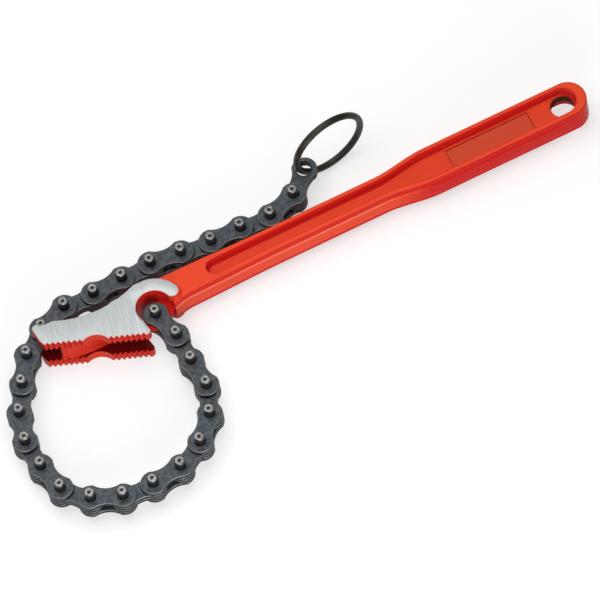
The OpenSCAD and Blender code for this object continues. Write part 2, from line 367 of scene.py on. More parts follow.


# dark oiled plates; the mark attribute is 1 on their rubbed rims and -1 on their walls and in their pin
# holes, which are painted near black as shade between the plates
def makeChainSteel():
    c = chainTint
    material, tree, shader = newMaterial("oiledPlateAndShade")
    patches, grain = addMottle(tree, placeNode(tree), *c["mottle"])
    body = mixNode(tree, stepNode(tree, patches, *c["patchStep"]), c["steel"], c["blued"])
    wearAndShade = markNode(tree, "wearAndShade")
    worn = stepNode(tree, patches, *c["wornStep"])
    paler = mathNode(tree, "MULTIPLY", stepNode(tree, wearAndShade, 0.0, 1.0), worn)
    shadedWalls = mixNode(tree, stepNode(tree, wearAndShade, 0.0, -1.0), body, c["plateShade"])
    setInputs(tree, shader, {
        "Base Color": mixNode(tree, paler, shadedWalls, c["worn"]),
        "Metallic": blendNode(tree, paler, *c["metallic"]),
        "Roughness": blendNode(tree, patches, *c["rough"]),
        "Specular IOR Level": c["gleam"],
        "Normal": bumpNode(tree, grain, *c["bump"]),
    })
    return material


pinTint = dict(
    bright=(0.25, 0.255, 0.25), turned=(0.115, 0.115, 0.11), shaft=(0.022, 0.022, 0.024),
    mottle=(900.0, 2200.0), patchStep=(0.35, 0.7), metallic=(0.4, 1.0), rough=(0.38, 0.30),
    bump=(0.06, 0.1 * mm),
)


# bright turned ends, black oily shafts; the attribute shine is 1 on the ends
def makePinSteel():
    c = pinTint
    material, tree, shader = newMaterial("pinFinish")
    patches, grain = addMottle(tree, placeNode(tree), *c["mottle"])
    shine = markNode(tree, "shine")
    ends = mixNode(tree, stepNode(tree, patches, *c["patchStep"]), c["bright"], c["turned"])
    setInputs(tree, shader, {
        "Base Color": mixNode(tree, shine, c["shaft"], ends),
        "Metallic": blendNode(tree, shine, *c["metallic"]),
        "Roughness": blendNode(tree, shine, *c["rough"]),
        "Normal": bumpNode(tree, grain, *c["bump"]),
    })
    return material


ringTint = dict(
    black=(0.022, 0.020, 0.017), olive=(0.060, 0.054, 0.042), mottle=(130.0, 1300.0),
    patchStep=(0.35, 0.75), metallic=0.5, rough=(0.36, 0.55), bump=(0.12, 0.15 * mm),
)


# blackened wire with olive patches
def makeRingBlack():
    c = ringTint
    material, tree, shader = newMaterial("blackenedWire")
    patches, grain = addMottle(tree, placeNode(tree), *c["mottle"])
    setInputs(tree, shader, {
        "Base Color": mixNode(tree, stepNode(tree, patches, *c["patchStep"]), c["black"], c["olive"]),
        "Metallic": c["metallic"],
        "Roughness": blendNode(tree, patches, *c["rough"]),
        "Normal": bumpNode(tree, grain, *c["bump"]),
    })
    return material


forgingPaintAndShading = makePaint()
oiledPlateAndShade = makeChainSteel()
pinFinish = makePinSteel()
blackenedWire = makeRingBlack()
print("materials made")


handle = dict(
    # outline
    endMargin=12.58, gripWidth=19.4, gripLen=72.0, neckLen=28.0, shankWidth=13.0, rootWidth=14.8,
    flareLen=50.0, rootX=207.7, heelRise=2.3, heelFrom=208.0,
    # side wall with its shoulder, and its marks of painted highlight and painted shade up to its top
    halfThick=8.0, edgeRound=1.0, shoulder=0.55, shoulderZ=4.0, shoulderRun=0.5, shoulderFade=14.0,
    wallTop=0.9, bendRows=9, highlightFrom=1.5, highlightHalf=0.2, wallShadingMarks=(0, -0.3, -1, -0.4, 0.75, 0.75, 0),
    # pocket and channel, and the painted shade on the recess's walls and along the rim's inner edge
    rim=2.45, rimShadeLine=0.75, rimShadeMark=0.8, lipShare=0.1, footShare=0.8, footFade=0.4,
    pocketDepth=4.8, pocketWall=0.8, channelDepth=4.2, channelWall=1.6, channelEnd=194.0,
    blendStart=66.0, blendEnd=108.0,
    # sunken panel
    panelStart=17.0, panelEnd=62.0, panelHalf=5.4, panelDepth=0.6, panelStep=0.4,
    # hang hole
    holeR=6.0, holeRound=0.5, holeFade=4.0, holeSlack=0.01, holeReach=10.5, holeJoin=15.5,
    # end wall in the anchor recess, and the painted shade on it
    recessR=10.2, recessFrom=200.0, endShrink=0.97, endShade=0.95,
    # grid: points round the end, stops across the face, rows of rim, wall and floor, and stations
    capPoints=61, evenFrom=195.0, evenRun=8.0, evenStops=(0.3, 0.65), wallShare=0.9,
    wallFrom=(0.03, 0.9), wallLeast=0.04, wallMost=0.97, faceRows=(4, 12, 12),
    spans=((226, 14), (210, 12), (196, 24), (184, 64), (104, 38), (66, 18), (60, 30), (20, 18), (14, 46)),
)
handle["endR"] = handle["gripWidth"] / 2
handle["endX"] = handle["endR"] - handle["endMargin"]
handle["channelHalf"] = handle["shankWidth"] / 2 - handle["rim"]
handle["channelStop"] = handle["channelEnd"] - handle["channelHalf"]


# half the handle's width: an S-curve from the grip to the shank and a slow flare to the head
def halfWidth(x):
    h = handle
    neck = ease((x - h["gripLen"]) / h["neckLen"])
    flare = ease((x - h["rootX"]) / h["flareLen"] + 1)
    width = h["gripWidth"] + (h["shankWidth"] - h["gripWidth"]) * neck
    return (width + (h["rootWidth"] - h["shankWidth"]) * flare) / 2


# the recess in the face: half its width, the width of its walls, and how far the pocket has become
# the channel, which is narrower, shallower and more rounded at the foot of its walls
def recessSpan(x):
    h = handle
    neck = ease((x - h["gripLen"]) / h["neckLen"])
    grip = h["endR"] - h["rim"]
    half = grip + (h["channelHalf"] - grip) * neck
    rounded = ease((x - h["blendStart"]) / (h["blendEnd"] - h["blendStart"]))
    return half, h["pocketWall"] + (h["channelWall"] - h["pocketWall"]) * rounded, rounded


# how far a place lies beyond the straight length of the recess, whose ends are round
def pastEnds(x):
    return np.maximum(np.maximum(x - handle["channelStop"], -x), 0)


# how deep the face lies below the rim, and how much painted shade it gets: the recess goes down in a
# quarter of an ellipse, and a sunken panel and the rounding of the hang hole come on top; the recess's
# walls get painted shade, the rim's inner edge a dark line of painted shade, and round the hole the
# painted shade of the wall runs on down into it
def faceForm(x, y):
    h = handle
    half, wall, rounded = recessSpan(x)
    inside = half - np.hypot(pastEnds(x), y)
    inset = inside / wall
    t = np.clip(inset, 0, 1)
    full = h["pocketDepth"] + (h["channelDepth"] - h["pocketDepth"]) * rounded
    depth = full * np.sqrt(1 - (1 - t) ** 2)
    along = ease((x - h["panelStart"]) / h["panelStep"]) * ease((h["panelEnd"] - x) / h["panelStep"])
    panel = along * ease((h["panelHalf"] - np.abs(y)) / h["panelStep"])
    out = np.clip(np.hypot(x, y) - h["holeR"], 0, h["holeRound"])
    holeEdge = h["holeRound"] - np.sqrt(h["holeRound"] ** 2 - (h["holeRound"] - out) ** 2)
    # the mark of painted shade: on the recess's walls, along the rim's inner edge and round the hole
    begun = ease(t / h["lipShare"])
    onWall = begun * (1 - ease((inset - h["footShare"]) / h["footFade"]))
    rimShadeLine = np.where(inset < h["lipShare"], h["rimShadeMark"] * ease(1 + inside / h["rimShadeLine"]), 0)
    aroundHole = begun * ease(-x / h["holeFade"])
    hollow = np.maximum(np.maximum(onWall, rimShadeLine), aroundHole)
    return depth + h["panelDepth"] * panel + holeEdge, hollow


# stations along one side, closer together where the form changes quickly; each span has a start and a
# count, and runs to the start of the next one
def handleStations():
    starts, counts = zip(*handle["spans"])
    stops = (*starts[1:], handle["endX"])
    parts = [np.linspace(*span, endpoint=False) for span in zip(starts, stops, counts)]
    return join([*parts, [handle["endX"]]])


# the forging as a grid: one parameter runs round the outline, from the head along the back, round
# the end and forward again, the other from the middle of the side wall up over the rounded rim and
# inwards to the spine or the rim of the hang hole; the lower half is the mirror image
def handleSurface():
    h = handle
    side = handleStations()
    ends = np.radians(np.linspace(-90, -270, h["capPoints"]))[1:-1]
    heel = h["heelRise"] * np.clip((side - h["heelFrom"]) / (anchor[0] - h["heelFrom"]), 0, 1) ** 2
    back = np.stack([side, -halfWidth(side)], axis=1)
    front = np.stack([side, halfWidth(side) + heel], axis=1)[::-1]
    cap = [h["endX"], 0] + h["endR"] * unitCircle(ends)
    outline = join([back, cap, front])
    fromBack = np.tile([0.0, 1.0], (len(side), 1))
    inward = join([fromBack, -unitCircle(ends), -fromBack])
    # inner ends of the grid lines: on the spine, or spread round the hole's rim
    reach, meet, holeR = h["holeReach"], h["holeJoin"], h["holeR"]
    spine = np.where(side > meet, side, holeR + (side - reach) * (meet - holeR) / (meet - reach))
    turn = -90 * (1 - side / reach)
    rim = np.where(side > reach, 0.0, np.radians(turn))
    onSpine = np.stack([spine, 0 * side], axis=1)
    innerBack = np.where((side > reach)[:, None], onSpine, holeR * unitCircle(rim))
    innerCap = arc((0, 0), holeR, turn[-1], -360 - turn[-1], len(ends) + 2)[1:-1]
    innerFront = (innerBack * [1, -1])[::-1]
    inner = join([innerBack, innerCap, innerFront])
    # side wall with a shoulder, which fades out round the end, then the rounded rim, then the face
    top, edge, run = h["halfThick"], h["edgeRound"], h["shoulderRun"]
    low, middle, high = h["shoulderZ"] + run * np.array([-1, 0, 1])
    onShoulder = middle + run * np.linspace(-1, 1, h["bendRows"])
    wallZ = join([[0, middle / 2], onShoulder, [top - edge - h["wallTop"]]])
    bend = quarterTurn(h["bendRows"])
    stand = h["shoulder"] * ease((high - wallZ) / (2 * run))
    fade = ease((outline[:, :1] - h["endX"]) / h["shoulderFade"])
    insets = join([-stand * fade, np.tile(edge * (1 - np.cos(bend)), (len(outline), 1))], axis=1)
    heights = join([wallZ, top - edge + edge * np.sin(bend)])
    # the wall gets a painted highlight on its shoulder and painted shade, deeper red, above it, and on the
    # grip painted shade over its whole height
    crest = top - edge / 2
    markZ = (low - h["highlightFrom"], low, middle - h["highlightHalf"], middle + h["highlightHalf"], high, crest, top)
    shankShading = np.interp(heights, markZ, h["wallShadingMarks"])
    gripShade = np.interp(heights, (crest, top), (1, 0))
    toShank = recessSpan(outline[:, :1])[2]
    wallShading = gripShade + (shankShading - gripShade) * toShank
    rimPoints = outline[:, None, :] + inward[:, None, :] * insets[..., None]
    # each line crosses the rim, then the recess's wall, then its floor; past the recess it is cut evenly
    half, wall, _ = recessSpan(side)
    begin = rimPoints[:, -1, :]
    lines = inner - begin
    square = (lines ** 2).sum(axis=1)
    startY = np.abs(begin[:len(side), 1])
    even = ease((side - h["evenFrom"]) / h["evenRun"])
    stops = []
    for span, evenStop in zip((half, half - h["wallShare"] * wall), h["evenStops"]):
        reachY = np.sqrt(np.clip(span ** 2 - pastEnds(side) ** 2, 0, None))
        sideStop = (startY - reachY) / (startY - np.abs(innerBack[:, 1]))
        sideStop = np.clip(sideStop, 0, 1) * (1 - even) + evenStop * even
        sideStop = join([sideStop, np.ones(len(ends)), sideStop[::-1]])
        # round the hole, where a line crosses the circle
        slope = (begin * lines).sum(axis=1) / square
        apart = ((begin ** 2).sum(axis=1) - span[-1] ** 2) / square
        endStop = -slope - np.sqrt(np.clip(slope ** 2 - apart, 0, None))
        stops.append(np.where(begin[:, 0] < 0, endStop, sideStop)[:, None])
    wallStart = np.clip(stops[0], *h["wallFrom"])
    wallEnd = np.clip(stops[1], wallStart + h["wallLeast"], h["wallMost"])
    rimRows, wallRows, floorRows = (np.arange(1, count + 1)[None] / count for count in h["faceRows"])
    shares = join([wallStart * rimRows, wallStart + (wallEnd - wallStart) * wallRows,
                   wallEnd + (1 - wallEnd) * floorRows], axis=1)
    facePoints = begin[:, None, :] + lines[:, None, :] * shares[..., None]
    flat = join([rimPoints, facePoints], axis=1)
    depth, faceShade = faceForm(facePoints[..., 0], facePoints[..., 1])
    hollow = join([wallShading, faceShade], axis=1)
    z = join([np.tile(heights, (len(outline), 1)), top - depth], axis=1)
    # at the head the grid lines are drawn back to the round recess
    x, y = flat[..., 0], flat[..., 1]
    reachX = anchor[0] - np.sqrt(np.clip(h["recessR"] ** 2 - (y - anchor[1]) ** 2, 0, None))
    stretch = (reachX - h["recessFrom"]) / (anchor[0] - h["recessFrom"])
    x = np.where(x > h["recessFrom"], h["recessFrom"] + (x - h["recessFrom"]) * stretch, x)
    upper = np.stack([x, y, z], axis=-1)
    lower = upper * [1, 1, -1]
    rows, columns = z.shape
    count = rows * columns
    faces = gridFaces(rows, columns) + gridFaces(rows, columns, count)
    # walls of the hang hole and of the recess, from the upper face to the lower one
    onRim = np.arange(rows - 1)[np.hypot(*inner[:-1].T) < holeR + h["holeSlack"]] * columns + columns - 1
    faces += np.stack([onRim, onRim + columns, onRim + columns + count, onRim + count], axis=1).tolist()
    points = [upper.reshape(-1, 3), lower.reshape(-1, 3)]
    marks = [hollow.ravel(), hollow.ravel()]
    # the end walls in the anchor recess, painted deeper red as shade
    for row in (0, rows - 1):
        first = sum(len(part) for part in points)
        across = np.arange(columns)
        line = row * columns + across
        wallLines = [line, first + across, first + columns + across, line + count]
        for a, b in zip(wallLines, wallLines[1:]):
            faces += np.stack([a[:-1], a[1:], b[1:], b[:-1]], axis=1).tolist()
        points += [upper[row] * [1, 1, h["endShrink"]], lower[row] * [1, 1, h["endShrink"]]]
        marks.append(np.full(2 * columns, h["endShade"]))
    return join(points), faces, join(marks)


handlePiece = makePiece("handleForging", handleSurface(), "hollow")
dress(handlePiece, forgingPaintAndShading, "handle", "red_paint", "grip_forging", "shank_forging")
print("handle made:", len(handlePiece.data.polygons), "faces")


jaw = dict(
    # nose, seat and lip
    noseX=284.0, halfThick=12.0, slotHalf=5.9, seatY=8.9, seatGap=0.12, pinR=2.54,
    lipH=2.0, lipT=2.8, lipR=1.85, chinPart=3,
    # saddle and toothed edge
    saddleY=3.6, saddleR=52.0, saddleShift=2.0, jawY=1.3, jawAngle=22.0, cornerR=2.3,
    toothPitch=2.65, toothDepth=1.2, landPart=8, groupTeeth=7, archW=12.8, archH=2.8,
    # recess and horn
    recessR=9.0, hornW=6.6, hornEnd=199.0,
    # web between the cheeks
    webTeeth=2.6, webDrop=1.5, webLow=5.4, webSlope=16.0, webRoom=4.0, webLap=0.2, webShrink=0.02,
    # lug of the anchor pin, and its painted shade
    plateR=6.4, lugHalf=2.34, lugRound=0.4, lugRoot=3.0, lugTurn=110.0, lugShade=1.0,
    # roundings and fillets, and the painted shade in the slots and on the skirt
    lap=0.3, edgeRound=0.42, edgeRows=4, fillet=1.3, filletRows=6, slotShade=2.0, sharpAngle=32,
    skirt=1.6, skirtFrom=-112.0, skirtTurn=118.0, skirtGrow=0.3, skirtRows=8, skirtShade=0.4,
)
jaw["seat"] = np.array([jaw["noseX"] - jaw["lipT"] - jaw["pinR"] - jaw["seatGap"],
                        -jaw["seatY"] - jaw["pinR"] - jaw["seatGap"]])
jaw["dir"] = heading(180 - jaw["jawAngle"])
jaw["in"] = heading(270 - jaw["jawAngle"])
jaw["front"] = np.array([jaw["noseX"] - jaw["lipR"], jaw["jawY"]])
jaw["land"] = jaw["toothPitch"] / jaw["landPart"]
jaw["groupLen"] = jaw["groupTeeth"] * jaw["toothPitch"]
jaw["hornR"] = jaw["recessR"] + jaw["hornW"]
jaw["tipR"] = jaw["hornW"] / 2
jaw["tip"] = anchor + (jaw["recessR"] + jaw["tipR"]) * heading(jaw["hornEnd"])
jaw["lugRootY"] = -handle["rootWidth"] / 4
# counts of points along the stretches of the outlines, and of those in tight corners
jawPoints = dict(
    tip=17, saddle=33, arch=25, corner=9, recess=65, horn=33, seat=13, lip=13, webRecess=57, low=6,
    scoop=8, front=8, over=10, lug=41, skirt=25, tightCorner=3, tightSeat=2,
)
# how much painted shade, as deeper red, the walls of the cheeks and of the web get
cheekShade = dict(
    front=0.75, teeth=0.6, arch=0.5, corner=0.5, back=0.6, recess=1.0, tip=0.5, smooth=0.0, seat=0.3,
    lip=0.6, chin=0.9,
)
webShade = dict(
    tooth=0.5, front=1.5, closing=1.0, smooth=0.0, tip=0.8, recess=1.0, low=0.7, scoop=0.5,
)


# a point on the toothed edge, a distance along it and a depth below it
def onJaw(along, depth=0.0):
    along = np.asarray(along, float)[..., None]
    depth = np.asarray(depth, float)[..., None]
    return jaw["front"] + jaw["dir"] * along + jaw["in"] * depth


# one group of V-shaped teeth: three points to a notch
def toothRow(start):
    pitch, land = jaw["toothPitch"], jaw["land"]
    k = np.arange(jaw["groupTeeth"])[:, None]
    along = start + k * pitch + np.array([land / 2, pitch / 2, pitch - land / 2])
    depth = np.broadcast_to(np.array([0.0, jaw["toothDepth"], 0.0]), along.shape)
    return onJaw(along.ravel(), depth.ravel())


def hornTip():
    return arc(jaw["tip"], jaw["tipR"], jaw["hornEnd"] - 180, jaw["hornEnd"], jawPoints["tip"])


# the upper edge along the saddle; its circle cuts a straight line from the horn to the seat
def saddleEdge():
    j = jaw
    start = np.array([anchor[0], anchor[1] - j["hornR"]])
    line = np.array([j["seat"][0] - j["plateR"], -j["seatY"]]) - start
    centre = np.array([(anchor[0] + j["seat"][0]) / 2 - j["saddleShift"], -j["saddleY"] - j["saddleR"]])
    unit = line / np.hypot(*line)
    middle = (centre - start) @ unit
    foot = start + unit * middle
    half = math.sqrt(j["saddleR"] ** 2 - ((centre - foot) ** 2).sum())
    first = bearing(foot - unit * half - centre)
    second = bearing(foot + unit * half - centre)
    return arc(centre, j["saddleR"], first, second, jawPoints["saddle"])


# a closed outline from its stretches, with two marks for each of its points
def joinStretches(stretches):
    outline = join([stretch[0] for stretch in stretches])
    lengths = [len(stretch[0]) for stretch in stretches]
    first, second = np.repeat([stretch[1:] for stretch in stretches], lengths, axis=0).astype(float).T
    return outline, first, second


# outline of a cheek: teeth, arch, teeth, rounded corner, C-shaped recess, horn, saddle, seat and lip;
# the first mark is 1 where the edge of the ground face is rounded, and 0 along the teeth and in tight
# corners, the second tells how much painted shade the wall gets
def cheekOutline():
    j, n, m = jaw, jawPoints, cheekShade
    archR = (j["archW"] ** 2 / 4 + j["archH"] ** 2) / (2 * j["archH"])
    archCentre = onJaw(j["groupLen"] + j["archW"] / 2, j["archH"] - archR)
    archHalf = math.degrees(math.asin(j["archW"] / 2 / archR))
    inAngle = 270 - j["jawAngle"]
    arch = arc(archCentre, archR, inAngle + archHalf, inAngle - archHalf, n["arch"])[1:-1]
    length = 2 * j["groupLen"] + j["archW"] + j["cornerR"]
    cornerCentre = onJaw(length - j["cornerR"], j["cornerR"])
    corner = arc(cornerCentre, j["cornerR"], 90 - j["jawAngle"], 180 - j["jawAngle"], n["corner"])
    # where the jaw's back edge meets the recess
    toward = np.array([anchor[0] + j["recessR"] - j["lap"], anchor[1]]) - corner[-1]
    toward /= np.hypot(*toward)
    fromAnchor = corner[-1] - anchor
    slope = fromAnchor @ toward
    reach = -slope - math.sqrt(slope ** 2 - fromAnchor @ fromAnchor + j["recessR"] ** 2)
    meetAngle = bearing(corner[-1] + toward * reach - anchor)
    recess = arc(anchor, j["recessR"], meetAngle, j["hornEnd"] - 360, n["recess"])
    horn = arc(anchor, j["hornR"], j["hornEnd"] - 360, -90, n["horn"])[1:]
    # the seat runs into the lip where their circles cross
    lip = np.array([j["noseX"] - j["lipR"], -j["seatY"] - j["lipH"] + j["lipR"]])
    seatR = j["pinR"] + j["seatGap"]
    between = lip - j["seat"]
    distance = np.hypot(*between)
    bend = math.degrees(math.acos((distance ** 2 + seatR ** 2 - j["lipR"] ** 2) / (2 * distance * seatR)))
    seat = arc(j["seat"], seatR, 90, bearing(between) - bend, n["seat"])
    lipArc = arc(lip, j["lipR"], bearing(seat[-1] - lip) % 360, 360, n["lip"])[1:]
    chin = np.array([[j["noseX"] - j["lipR"] / j["chinPart"], j["jawY"] - j["lipT"]]])
    c, s = n["tightCorner"], n["tightSeat"]
    return joinStretches([
        (j["front"][None], 0, m["front"]), (toothRow(0), 0, m["teeth"]), (arch, 0, m["arch"]),
        (toothRow(j["groupLen"] + j["archW"]), 0, m["teeth"]), (corner[:c], 0, m["corner"]),
        (corner[c:], 1, m["back"]), (recess, 1, m["recess"]), (hornTip()[1:], 1, m["tip"]),
        (horn, 1, m["smooth"]), (saddleEdge(), 1, m["smooth"]), (seat[:-s], 1, m["seat"]),
        (seat[-s:], 0, m["seat"]), (lipArc[:s], 0, m["seat"]), (lipArc[s:], 1, m["lip"]),
        (chin, 1, m["chin"])])


drawnOut = 1.2  # least square of the sum of two normals, so that no sharp corner is drawn out far


# outward normals of a closed outline, lengthened at corners so that offset edges stay parallel
def outlineNormals(outline):
    ahead = np.roll(outline, -1, axis=0) - outline
    ahead /= np.hypot(*ahead.T)[:, None]
    x, y = outline.T
    area = (x * np.roll(y, -1) - np.roll(x, -1) * y).sum()
    edge = np.stack([ahead[:, 1], -ahead[:, 0]], axis=1) * np.sign(area)
    both = edge + np.roll(edge, 1, axis=0)
    return 2 * both / np.maximum((both ** 2).sum(axis=1), drawnOut)[:, None]


# a prism: rings of an outline, each with an offset along the normals and a height, closed by two flat
# faces; the marks are one for each point of the outline, or one for each point of each ring
def prism(outline, offsets, heights, marks):
    normals = outlineNormals(outline)
    offsets = np.asarray(offsets, float)
    if offsets.ndim == 1:
        offsets = np.broadcast_to(offsets[:, None], (len(heights), len(outline)))
    rings = withHeight(outline[None] + normals[None] * offsets[..., None], np.asarray(heights)[:, None])
    faces = tubeFaces(*offsets.shape)
    return rings.reshape(-1, 3), faces, np.broadcast_to(marks, offsets.shape).ravel()


def mirrored(surface):
    return surface[0] * [1, 1, -1], surface[1], surface[2]


# one cheek, from the slot to the ground face, with a narrow rounded edge round that face
def cheekSurface():
    r = jaw["edgeRound"]
    bend = quarterTurn(jaw["edgeRows"])
    offsets = join([[0, 0], r * (np.cos(bend) - 1)])
    inner = [jaw["slotHalf"], jaw["slotHalf"] + jaw["lap"]]
    heights = join([inner, jaw["halfThick"] - r + r * np.sin(bend)])
    outline, rounded, hollow = cheekOutline()
    # the walls take painted shade from the outline, and the face in the slot the deepest painted shade
    marks = np.tile(hollow, (len(heights), 1))
    marks[0] = jaw["slotShade"]
    return prism(outline, offsets[:, None] * rounded[None], heights, marks)


# the solid middle between the cheeks: the web, one tooth wide at its front, and the horn through its
# whole height; where the web's walls meet the cheeks a hollow fillet flares outwards
def webSurface():
    j, n, m = jaw, jawPoints, webShade
    pitch, land = j["toothPitch"], j["land"]
    first, after = j["webTeeth"], j["webTeeth"] + 1
    tip = math.ceil(first)
    flank = j["toothDepth"] * (1 - (first + 0.5 - tip) * 2)
    middle = tip * pitch
    along = (after * pitch, middle + pitch / 2, middle + land / 2, middle - land / 2, first * pitch)
    tooth = onJaw(along, (flank, j["toothDepth"], 0, 0, flank))
    webFront = tooth[-1]
    webTop = np.array([j["seat"][0] - j["plateR"] - j["webRoom"], -j["saddleY"] - j["lipH"]])
    slotEnd = anchor[0] + j["hornR"]
    saddle = saddleEdge()
    saddle = saddle[saddle[:, 0] < slotEnd][::-1]
    closing = np.array([[slotEnd, j["webDrop"] - j["saddleY"]], [slotEnd, saddle[0, 1]]])
    horn = arc(anchor, j["hornR"], -90, j["hornEnd"] - 360, n["horn"])
    lowStart = np.array([anchor[0] + j["recessR"], j["webLow"]])
    recess = arc(anchor, j["recessR"], j["hornEnd"] - 360, bearing(lowStart - anchor), n["webRecess"])
    low = np.linspace(lowStart, [webFront[0] - j["webSlope"], j["webLow"]], n["low"])
    scoop = np.linspace(low[-1], tooth[0], n["scoop"])[1:-1]
    front = np.linspace(webFront, webTop, n["front"])[1:]
    over = np.linspace(webTop, closing[0], n["over"])[1:-1]
    # the second marks give the web's walls their painted shade
    outline, flare, hollow = joinStretches([
        (tooth, 0, m["tooth"]), (front, 1, m["front"]), (over, 1, m["front"]), (closing, 0, m["closing"]),
        (saddle, 0, m["smooth"]), (horn, 0, m["smooth"]), (hornTip()[::-1][1:-1], 0, m["tip"]),
        (recess, 0, m["recess"]), (low, 1, m["low"]), (scoop, 1, m["scoop"])])
    half, r = j["slotHalf"], j["fillet"]
    z = join([half - r * np.cos(quarterTurn(j["filletRows"])), [half + j["webLap"]]])
    rise = np.clip((z - half + r) / r, 0, 1)
    out = r * (1 - np.sqrt(1 - rise ** 2))
    heights = join([-z[::-1], z])
    offsets = join([out[::-1], out])[:, None] * flare[None] - j["webShrink"]
    return prism(outline, offsets, heights, hollow)


# the tongue in the middle of the recess that carries the anchor pin, with rounded edges
def lugSurface():
    j = jaw
    half, r = j["lugHalf"], j["lugRound"]
    rootX = anchor[0] - j["recessR"] - j["lugRoot"]
    nose = arc(anchor, j["plateR"], -j["lugTurn"], j["lugTurn"], jawPoints["lug"])
    root = np.array([[rootX, anchor[1] - j["lap"]], [rootX, j["lugRootY"]]])
    outline = join([nose, root])
    bend = quarterTurn(j["edgeRows"])
    z = half - r + r * np.sin(bend)
    out = r * (np.cos(bend) - 1)
    # the lug is painted deeper red as shade
    return prism(outline, join([out[::-1], out]), join([-z[::-1], z]), j["lugShade"])


# a hollow fillet between the horn's pad and the handle's face: a three-sided profile with one
# hollow side, carried round the horn and growing from nothing at its start
def skirtSurface():
    j = jaw
    r, lap, count = j["skirt"], j["lap"], jawPoints["skirt"]
    outer = arc(anchor, j["hornR"], j["skirtFrom"], j["hornEnd"] - 360, count)
    tip = arc(j["tip"], j["tipR"], j["hornEnd"], j["hornEnd"] - j["skirtTurn"], count)[1:]
    path = join([outer, tip])
    normals = join([(outer - anchor) / j["hornR"], (tip - j["tip"]) / j["tipR"]])
    bend = quarterTurn(j["skirtRows"])
    out = join([[-lap], r * (1 - np.cos(bend)), [r, -lap]])
    up = join([[r], r * (1 - np.sin(bend)), [-lap, -lap]])
    size = ease(np.linspace(0, 1, len(path)) / j["skirtGrow"])
    # only what stands out of the horn and the handle grows
    wide = np.maximum(out, 0)[None] * size[:, None] + np.minimum(out, 0)[None]
    tall = np.maximum(up, 0)[None] * size[:, None] + np.minimum(up, 0)[None]
    flat = path[:, None, :] + normals[:, None, :] * wide[..., None]
    z = handle["halfThick"] + tall
    points = withHeight(flat, z).reshape(-1, 3)
    # the skirt is painted a little deeper red as shade at the horn's foot
    return points, tubeFaces(*z.shape), np.full(z.size, j["skirtShade"])


cheek = cheekSurface()
skirt = skirtSurface()
jawSurface = joinSurfaces(cheek, mirrored(cheek), webSurface(), lugSurface(), skirt, mirrored(skirt))
jawPiece = makePiece("jawForging", jawSurface, "hollow", jaw["sharpAngle"])
dress(jawPiece, forgingPaintAndShading, "handle", "red_paint", "jaw_forging")
print("jaw made:", len(jawPiece.data.polygons), "faces")


plate = dict(
    endR=6.4, waist=8.8, waistR=12.0, thick=2.3, gap=0.08, edgeRound=0.5, holeRound=0.25, pinHoleR=2.62,
    ringHoleR=3.9, waistPoints=10, endPoints=33, splitPoints=9, edgeRows=5,
    faceShares=(0.0, 0.35, 0.92, 1.0), wearAndShadeAngles=(0, 20, 60, 90), wearAndShadeMarks=(-1, 0.3, 1, 0),
    plateShadeMark=-1.0, sharpAngle=35,
)
plate["innerZ"] = (plate["thick"] + plate["gap"]) / 2
plate["outerZ"] = plate["innerZ"] + plate["thick"] + plate["gap"]


# half of a plate's outline, from the middle of one waist round the pin to the other waist
def plateOutline():
    p = plate
    middle = linkPitch / 2
    dip = p["waist"] / 2 + p["waistR"]
    run = math.degrees(math.acos((dip - p["endR"]) / p["waistR"]))
    upper = arc((middle, dip), p["waistR"], 270, 270 - run, p["waistPoints"])
    end = arc((0, 0), p["endR"], 90, 270, p["endPoints"])
    return join([upper, end, (upper * [1, -1])[::-1]])


# half a plate: rings from the pin hole's wall over the face and the rounded rim down the outer wall
# and back below; in the middle of the link the faces end on the line where the other half joins
def halfPlate(holeR):
    p = plate
    outline = plateOutline()
    along = np.gradient(outline, axis=0)
    along /= np.hypot(*along.T)[:, None]
    normals = np.stack([along[:, 1], -along[:, 0]], axis=1)
    normals *= np.sign((normals[len(outline) // 2] * outline[len(outline) // 2]).sum())
    normals[[0, -1]] = [[0, 1], [0, -1]]
    r, h = p["edgeRound"], p["thick"] / 2
    bend = np.radians(np.linspace(90, 0, p["edgeRows"]))
    rimOut = r * (np.cos(bend) - 1)
    rimZ = h - r + r * np.sin(bend)
    wallOut = join([rimOut, rimOut[::-1]])
    wallZ = join([rimZ, -rimZ[::-1]])
    wall = outline[None] + normals[None] * wallOut[:, None, None]
    wallPoints = withHeight(wall, wallZ[:, None])
    # the face, as a ring from the hole to the rim and the middle line
    split = np.linspace(wall[0, -1], wall[0, 0], p["splitPoints"])[1:-1]
    rim = join([wall[0], split])
    unit = unitCircle(np.arctan2(rim[:, 1], rim[:, 0]))
    lip = p["holeRound"]
    shares = np.array(p["faceShares"])
    ringR = holeR + lip
    face = (unit * ringR)[None] * (1 - shares)[:, None, None] + rim[None] * shares[:, None, None]
    hole = np.stack([unit * holeR, unit * holeR], axis=0)
    z = np.array([0.0, h - lip] + [h] * len(shares))
    upper = withHeight(join([hole, face]), z[:, None])
    lower = upper * [1, 1, -1]
    # the rims are rubbed paler, and the walls and the pin holes are painted near black as shade
    rimWearAndShade = np.interp(np.degrees(bend), p["wearAndShadeAngles"], p["wearAndShadeMarks"])
    wallWearAndShade = join([rimWearAndShade, rimWearAndShade[::-1]])
    holeShade = np.array([p["plateShadeMark"]] * len(hole) + [0.0] * len(shares))
    wearAndShade = join([np.repeat(wallWearAndShade, len(outline)), np.tile(np.repeat(holeShade, len(rim)), 2)])
    count = wallPoints.size // 3
    ring = upper.size // 3
    faces = gridFaces(*wallPoints.shape[:2])
    faces += gridFaces(*upper.shape[:2], first=count, closeColumns=True)
    faces += gridFaces(*upper.shape[:2], first=count + ring, closeColumns=True)
    points = join([part.reshape(-1, 3) for part in (wallPoints, upper, lower)])
    return points, faces, wearAndShade


